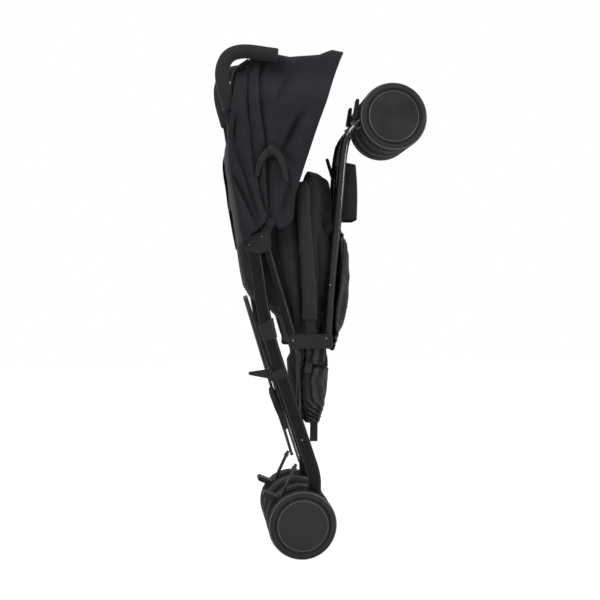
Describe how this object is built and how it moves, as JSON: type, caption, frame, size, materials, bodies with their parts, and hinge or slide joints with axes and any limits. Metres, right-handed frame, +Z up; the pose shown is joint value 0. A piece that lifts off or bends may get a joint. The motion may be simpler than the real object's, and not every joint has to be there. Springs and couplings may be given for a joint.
{
  "type": "umbrella stroller",
  "caption": "Folded umbrella stroller with crook handles, small canopy, hanging seat cloth, thin cross bars and twin wheels, standing on its rear wheels.",
  "frame": {"origin": "middle of the bounding box's bottom, on the floor under the rear wheels", "axes": "+Z up, +X towards the folded front wheels, +Y towards the left side; the picture looks from -Y at the right side"},
  "size_m": [0.434, 0.2694, 1.0235],
  "materials": {
    "frame_paint": "satin black powder coat",
    "gloss_paint": "gloss black paint",
    "plastic": "moulded charcoal, fine texture",
    "foam": "matt foam",
    "steel": "plain wire",
    "tyre": "smooth black",
    "hub": "satin dark grey cap",
    "canopy_cloth": "blue charcoal polyester weave",
    "seat_cloth": "blue charcoal polyester weave",
    "basket_nylon": "thin shiny nylon"
  },
  "bodies": {
    "frame_right": {"grip_right": "foam", "push_tube_right": "frame_paint", "hinge_bracket_right": "plastic", "canopy_rear_right": "canopy_cloth", "seat_fabric_right": "seat_cloth", "seat_pad_right": "seat_cloth"},
    "canopy_right": {"canopy_front_right": "canopy_cloth"},
    "stretcher_rear_arm_right": {"stretcher_rear_right": "plastic"},
    "stretcher_front_arm_right": {"stretcher_front_right": "plastic"},
    "rear_frame_right": {"rear_leg_right": "frame_paint", "leg_collar_right": "plastic", "rear_fork_right": "plastic"},
    "brake_right": {"brake_lever_right": "plastic", "brake_rod_right": "steel"},
    "cross_right": {"cross_bar_right": "steel"},
    "rear_wheels_right": {"rear_hubs_right": "hub", "rear_tyre_inner_right": "tyre", "rear_tyre_outer_right": "tyre"},
    "front_frame_right": {"front_leg_right": "gloss_paint", "knee_plate_right": "plastic", "basket_front_right": "basket_nylon", "footrest_right": "seat_cloth"},
    "lock_right": {"swivel_lock_right": "plastic"},
    "caster_right": {"front_fork_right": "plastic"},
    "front_wheels_right": {"front_hubs_right": "hub", "front_tyre_inner_right": "tyre", "front_tyre_outer_right": "tyre"},
    "seat_frame_right": {"seat_rail_right": "gloss_paint", "basket_right": "basket_nylon"},
    "frame_left": {"grip_left": "foam", "push_tube_left": "frame_paint", "hinge_bracket_left": "plastic", "canopy_rear_left": "canopy_cloth", "seat_fabric_left": "seat_cloth", "seat_pad_left": "seat_cloth"},
    "canopy_left": {"canopy_front_left": "canopy_cloth"},
    "stretcher_rear_arm_left": {"stretcher_rear_left": "plastic"},
    "stretcher_front_arm_left": {"stretcher_front_left": "plastic"},
    "rear_frame_left": {"rear_leg_left": "frame_paint", "leg_collar_left": "plastic", "rear_fork_left": "plastic"},
    "brake_left": {"brake_lever_left": "plastic", "brake_rod_left": "steel"},
    "cross_left": {"cross_bar_left": "steel"},
    "rear_wheels_left": {"rear_hubs_left": "hub", "rear_tyre_inner_left": "tyre", "rear_tyre_outer_left": "tyre"},
    "front_frame_left": {"front_leg_left": "gloss_paint", "knee_plate_left": "plastic", "basket_front_left": "basket_nylon", "footrest_left": "seat_cloth"},
    "lock_left": {"swivel_lock_left": "plastic"},
    "caster_left": {"front_fork_left": "plastic"},
    "front_wheels_left": {"front_hubs_left": "hub", "front_tyre_inner_left": "tyre", "front_tyre_outer_left": "tyre"},
    "seat_frame_left": {"seat_rail_left": "gloss_paint", "basket_left": "basket_nylon"},
    "fold_pedal": {"fold_lever": "plastic"}
  },
  "joints": [
    {"name": "fold", "type": "hinge", "parent": "frame_left", "child": "rear_frame_left", "pos_m": [-0.1474, 0.085, 0.6239], "axis": [0, 1, 0], "range_deg": [0, 55]},
    {"name": "width_frame", "type": "slide", "parent": "frame_left", "child": "frame_right", "axis": [0, -1, 0], "range_m": [0, 0.225]},
    {"name": "width_rear", "type": "slide", "parent": "rear_frame_left", "child": "rear_frame_right", "axis": [0, -1, 0], "range_m": [0, 0.225]},
    {"name": "width_front", "type": "slide", "parent": "front_frame_left", "child": "front_frame_right", "axis": [0, -1, 0], "range_m": [0, 0.225]},
    {"name": "width_seat", "type": "slide", "parent": "seat_frame_left", "child": "seat_frame_right", "axis": [0, -1, 0], "range_m": [0, 0.225]},
    {"name": "width_canopy", "type": "slide", "parent": "canopy_left", "child": "canopy_right", "axis": [0, -1, 0], "range_m": [0, 0.225]},
    {"name": "front_leg_swing", "type": "hinge", "parent": "frame_left", "child": "front_frame_left", "pos_m": [-0.0601, 0.047, 0.4306], "axis": [0, 1, 0], "range_deg": [0, 150]},
    {"name": "seat_rail_swing", "type": "hinge", "parent": "frame_left", "child": "seat_frame_left", "pos_m": [-0.0601, 0.0644, 0.4306], "axis": [0, 1, 0], "range_deg": [0, 121]},
    {"name": "canopy_open", "type": "hinge", "parent": "frame_left", "child": "canopy_left", "pos_m": [-0.1076, 0, 0.666], "axis": [0, 1, 0], "range_deg": [0, 40]},
    {"name": "stretcher_rear_left", "type": "hinge", "parent": "frame_left", "child": "stretcher_rear_arm_left", "pos_m": [-0.1354, 0.105, 0.7609], "axis": [0, 1, 0], "range_deg": [0, 58.4]},
    {"name": "stretcher_elbow_left", "type": "hinge", "parent": "stretcher_rear_arm_left", "child": "stretcher_front_arm_left", "pos_m": [-0.1054, 0.105, 0.8127], "axis": [0, 1, 0], "range_deg": [-77, 0]},
    {"name": "cross_bar_left", "type": "hinge", "parent": "rear_frame_left", "child": "cross_left", "pos_m": [-0.05183, 0.045, 0.1829], "axis": [0.9518, 0, 0.3068], "range_deg": [0, 46.5]},
    {"name": "brake_left", "type": "hinge", "parent": "rear_frame_left", "child": "brake_left", "pos_m": [-0.051, 0.085, 0.0988], "axis": [0, -1, 0], "range_deg": [0, 12]},
    {"name": "rear_wheel_spin_left", "type": "hinge", "parent": "rear_frame_left", "child": "rear_wheels_left", "pos_m": [-0.0459, 0.085, 0.06742], "axis": [0, 1, 0], "continuous": true},
    {"name": "caster_swivel_left", "type": "hinge", "parent": "front_frame_left", "child": "caster_left", "pos_m": [0.0773, 0.047, 0.8758], "axis": [0.8443, 0, 0.5358], "range_deg": [-8, 8]},
    {"name": "front_wheel_spin_left", "type": "hinge", "parent": "caster_left", "child": "front_wheels_left", "pos_m": [0.1476, 0.047, 0.8883], "axis": [0, 1, 0], "continuous": true},
    {"name": "swivel_lock_left", "type": "hinge", "parent": "front_frame_left", "child": "lock_left", "pos_m": [0.07221, 0.047, 0.89128], "axis": [0, 1, 0], "range_deg": [0, 15]},
    {"name": "stretcher_rear_right", "type": "hinge", "parent": "frame_right", "child": "stretcher_rear_arm_right", "pos_m": [-0.1354, -0.105, 0.7609], "axis": [0, 1, 0], "range_deg": [0, 58.4]},
    {"name": "stretcher_elbow_right", "type": "hinge", "parent": "stretcher_rear_arm_right", "child": "stretcher_front_arm_right", "pos_m": [-0.1054, -0.105, 0.8127], "axis": [0, 1, 0], "range_deg": [-77, 0]},
    {"name": "cross_bar_right", "type": "hinge", "parent": "rear_frame_right", "child": "cross_right", "pos_m": [-0.04497, -0.045, 0.1851], "axis": [-0.9518, 0, -0.3068], "range_deg": [0, 46.5]},
    {"name": "brake_right", "type": "hinge", "parent": "rear_frame_right", "child": "brake_right", "pos_m": [-0.051, -0.085, 0.0988], "axis": [0, -1, 0], "range_deg": [0, 12]},
    {"name": "rear_wheel_spin_right", "type": "hinge", "parent": "rear_frame_right", "child": "rear_wheels_right", "pos_m": [-0.0459, -0.085, 0.06742], "axis": [0, 1, 0], "continuous": true},
    {"name": "caster_swivel_right", "type": "hinge", "parent": "front_frame_right", "child": "caster_right", "pos_m": [0.0773, -0.047, 0.8758], "axis": [0.8443, 0, 0.5358], "range_deg": [-8, 8]},
    {"name": "front_wheel_spin_right", "type": "hinge", "parent": "caster_right", "child": "front_wheels_right", "pos_m": [0.1476, -0.047, 0.8883], "axis": [0, 1, 0], "continuous": true},
    {"name": "swivel_lock_right", "type": "hinge", "parent": "front_frame_right", "child": "lock_right", "pos_m": [0.07221, -0.047, 0.89128], "axis": [0, 1, 0], "range_deg": [0, 15]},
    {"name": "fold_pedal", "type": "hinge", "parent": "rear_frame_right", "child": "fold_pedal", "pos_m": [-0.0859, -0.085, 0.3645], "axis": [0, -1, 0], "range_deg": [0, 15]}
  ],
  "couplings": [
    {"joint": "width_frame", "follows": "fold", "m_per_rad": 0.2343},
    {"joint": "width_rear", "follows": "fold", "m_per_rad": 0.2343},
    {"joint": "width_front", "follows": "fold", "m_per_rad": 0.2343},
    {"joint": "width_seat", "follows": "fold", "m_per_rad": 0.2343},
    {"joint": "width_canopy", "follows": "fold", "m_per_rad": 0.2343},
    {"joint": "front_leg_swing", "follows": "fold", "ratio": 2.727},
    {"joint": "seat_rail_swing", "follows": "fold", "ratio": 2.2},
    {"joint": "canopy_open", "follows": "fold", "ratio": 0.727},
    {"joint": "stretcher_rear_left", "follows": "fold", "ratio": 1.0618},
    {"joint": "stretcher_elbow_left", "follows": "fold", "ratio": -1.3982},
    {"joint": "cross_bar_left", "follows": "fold", "ratio": 0.845},
    {"joint": "stretcher_rear_right", "follows": "fold", "ratio": 1.0618},
    {"joint": "stretcher_elbow_right", "follows": "fold", "ratio": -1.3982},
    {"joint": "cross_bar_right", "follows": "fold", "ratio": 0.845}
  ]
}
